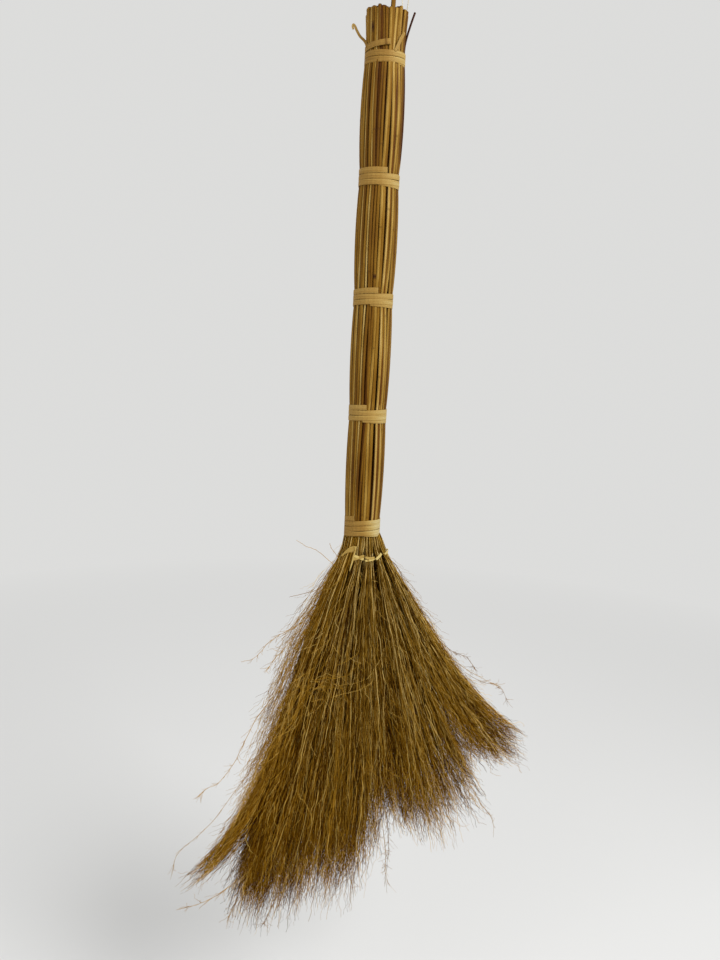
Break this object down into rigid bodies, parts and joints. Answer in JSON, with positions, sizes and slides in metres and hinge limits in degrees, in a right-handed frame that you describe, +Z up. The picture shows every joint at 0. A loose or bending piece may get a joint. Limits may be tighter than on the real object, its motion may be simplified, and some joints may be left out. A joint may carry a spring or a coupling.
{
  "type": "bamboo hand broom",
  "caption": "Hand broom of thin bamboo stalks bound with split-cane strips into a round handle, its twigs parted by two twined strands and fanned into a wide flat head, hung by a cord loop.",
  "frame": {"origin": "top of the hanging loop, where a hook or a peg holds the broom", "axes": "+Z up along the handle towards its butt, +X to the right across the fan of twigs, +Y to the back of the fan"},
  "size_m": [0.4268, 0.074, 1.05],
  "materials": {
    "stalk": "satin",
    "dark_stalk": "satin",
    "split_cane": "satin",
    "twining_cane": "satin",
    "twig": "matte",
    "cord": "matte"
  },
  "bodies": {
    "root": {"hanging_loop": "cord", "tallest_stalk": "stalk", "splayed_stalk": "dark_stalk", "outer_stalk_1": "stalk", "outer_stalk_2": "stalk", "outer_stalk_3": "stalk", "outer_stalk_4": "stalk", "outer_stalk_5": "stalk", "outer_stalk_6": "stalk", "outer_stalk_7": "stalk", "outer_stalk_8": "stalk", "outer_stalk_9": "stalk", "outer_stalk_10": "stalk", "outer_stalk_11": "stalk", "outer_stalk_12": "stalk", "outer_stalk_13": "stalk", "outer_stalk_14": "stalk", "outer_stalk_15": "stalk", "outer_stalk_17": "stalk", "outer_stalk_18": "stalk", "outer_stalk_19": "stalk", "outer_stalk_21": "stalk", "middle_stalk_1": "stalk", "middle_stalk_2": "stalk", "middle_stalk_3": "stalk", "middle_stalk_4": "stalk", "middle_stalk_5": "stalk", "middle_stalk_6": "stalk", "middle_stalk_7": "stalk", "middle_stalk_8": "stalk", "middle_stalk_9": "stalk", "middle_stalk_10": "stalk", "middle_stalk_11": "stalk", "middle_stalk_12": "stalk", "middle_stalk_13": "stalk", "middle_stalk_14": "stalk", "inner_stalk_1": "stalk", "inner_stalk_2": "stalk", "inner_stalk_3": "stalk", "inner_stalk_4": "stalk", "inner_stalk_5": "stalk", "inner_stalk_6": "stalk", "inner_stalk_7": "stalk", "inner_stalk_8": "stalk", "core_stalk": "stalk", "top_binding": "split_cane", "upper_binding": "split_cane", "middle_binding": "split_cane", "lower_binding": "split_cane", "neck_binding": "split_cane", "front_twining_strand": "twining_cane", "rear_twining_strand": "twining_cane", "left_bunch": "twig", "centre_left_bunch": "twig", "centre_right_bunch": "twig", "right_bunch": "twig"}
  },
  "joints": []
}
